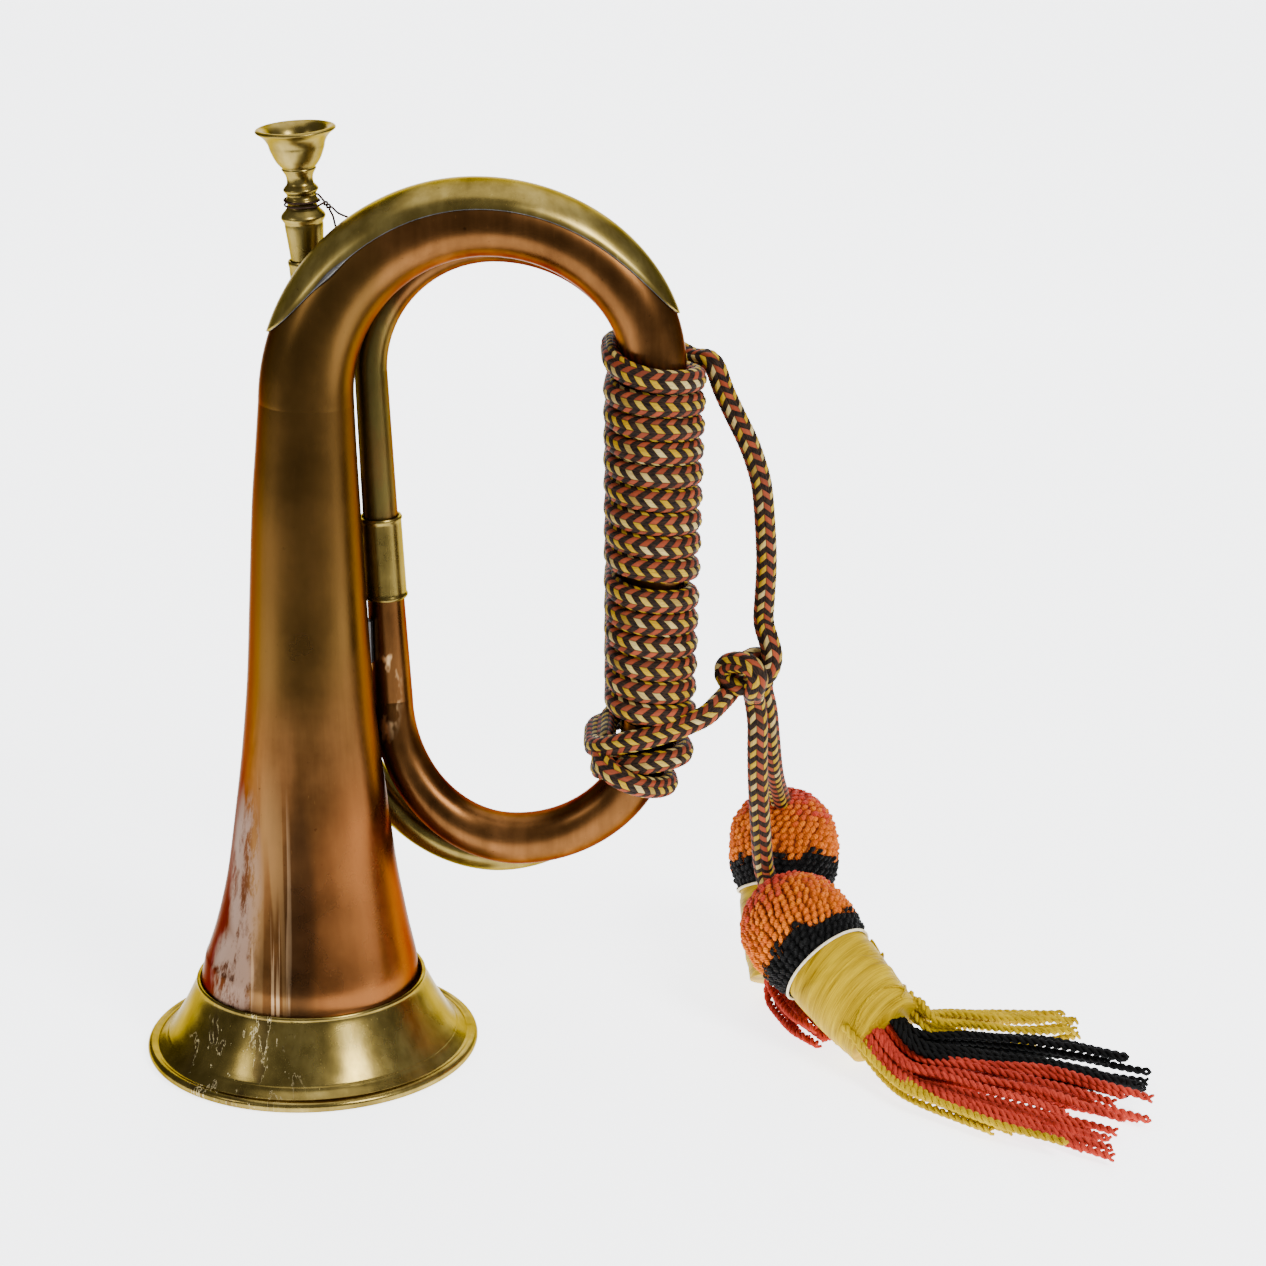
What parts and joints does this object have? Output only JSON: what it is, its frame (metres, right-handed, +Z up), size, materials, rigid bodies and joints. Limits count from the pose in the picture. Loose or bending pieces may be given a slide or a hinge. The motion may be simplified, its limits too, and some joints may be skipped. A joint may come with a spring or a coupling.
{
  "type": "bugle",
  "caption": "Double-wound copper and brass duty bugle standing on its bell, with a lift-out mouthpiece, a braided cord wound into a grip, and crocheted tassels.",
  "frame": {"origin": "on the surface that the bell mouth stands on, under the middle of the instrument's own box, with the cord and tassels left out", "axes": "+Z up along the bell, +Y across the coils from the main bow's side to the mouthpiece's side, +X from the bell towards the cord grip"},
  "size_m": [0.3453, 0.181, 0.3178],
  "materials": {
    "aged_copper": "worn satin copper with a brown patina",
    "aged_brass": "aged satin",
    "dark_iron_wire": "dark, dull",
    "dull_solder": "dull grey solder",
    "tricolour_braid": "braided cord in black, red-brown and yellow",
    "orange_crochet": "crocheted yarn, red-pink to orange to black",
    "yellow_floss": "glossy wound floss",
    "yellow_yarn": "twisted yarn",
    "black_yarn": "twisted yarn",
    "red_yarn": "twisted yarn"
  },
  "bodies": {
    "bugle": {"bell_tube": "aged_copper", "top_bow_front": "aged_copper", "right_leg_front": "aged_copper", "bottom_bow_front": "aged_copper", "left_leg_lower": "aged_copper", "left_leg_upper": "aged_copper", "top_bow_back": "aged_copper", "right_leg_back": "aged_copper", "bell_garland": "aged_brass", "bow_guard": "aged_brass", "leg_ferrule": "aged_brass", "bottom_bow_back": "aged_brass", "leadpipe": "aged_brass", "mouthpiece_receiver": "aged_brass", "rim_wire": "dark_iron_wire", "solder_leg": "dull_solder", "solder_leadpipe": "dull_solder", "solder_bows_top": "dull_solder", "solder_bows_low": "dull_solder", "cord_grip": "tricolour_braid", "cord_hitch": "tricolour_braid", "cord_knot": "tricolour_braid", "cord_strand_top": "tricolour_braid", "cord_strand_hitch": "tricolour_braid", "cord_tail_front": "tricolour_braid", "cord_tail_back": "tricolour_braid", "tassel_front_head": "orange_crochet", "tassel_back_head": "orange_crochet", "tassel_front_band": "yellow_floss", "tassel_back_band": "yellow_floss", "tassel_front_fringe_yellow": "yellow_yarn", "tassel_front_fringe_gold": "yellow_yarn", "tassel_front_fringe_black": "black_yarn", "tassel_front_fringe_red": "red_yarn", "tassel_back_fringe": "red_yarn"},
    "tie": {"tie_wire": "dark_iron_wire"},
    "mouthpiece": {"mouthpiece": "aged_brass"}
  },
  "joints": [
    {"name": "mouthpiece_slide", "type": "slide", "parent": "bugle", "child": "tie", "axis": [-0.0548, -0.0469, 0.9974], "range_m": [0, 0.018]},
    {"name": "mouthpiece_turn", "type": "hinge", "parent": "tie", "child": "mouthpiece", "pos_m": [-0.0319, 0.0229, 0.273], "axis": [-0.0548, -0.0469, 0.9974], "continuous": true}
  ]
}
